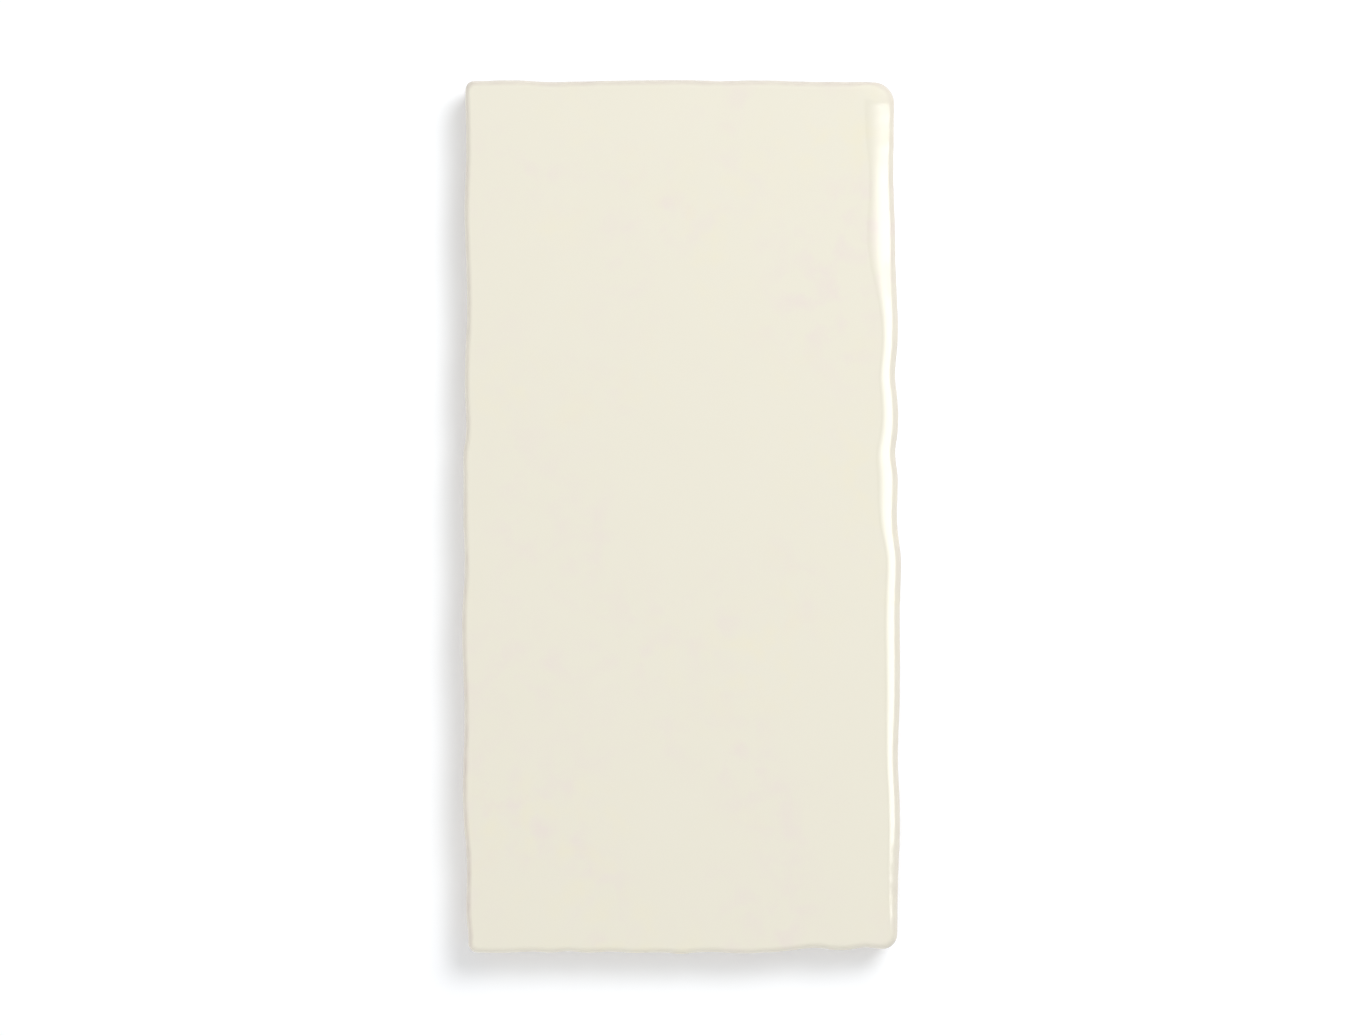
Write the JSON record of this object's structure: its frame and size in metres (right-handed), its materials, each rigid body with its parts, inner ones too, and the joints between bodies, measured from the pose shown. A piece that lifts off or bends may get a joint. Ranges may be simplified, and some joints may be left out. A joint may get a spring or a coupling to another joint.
{
  "type": "wall tile",
  "caption": "Oblong glazed ceramic wall tile with a hand-made look: gently wavy sides, softly rolled glossy cream edges, rounded corners and shallow keying grooves in the flat back.",
  "frame": {"origin": "middle of the tile's outline, on the plane of its back", "axes": "+X across the tile to the picture's right, +Y along its length to the picture's top, +Z out of the glazed face"},
  "size_m": [0.0756, 0.1506, 0.009],
  "materials": {
    "cream_glaze": "gloss"
  },
  "bodies": {
    "root": {"wall_tile": "cream_glaze"}
  },
  "joints": []
}
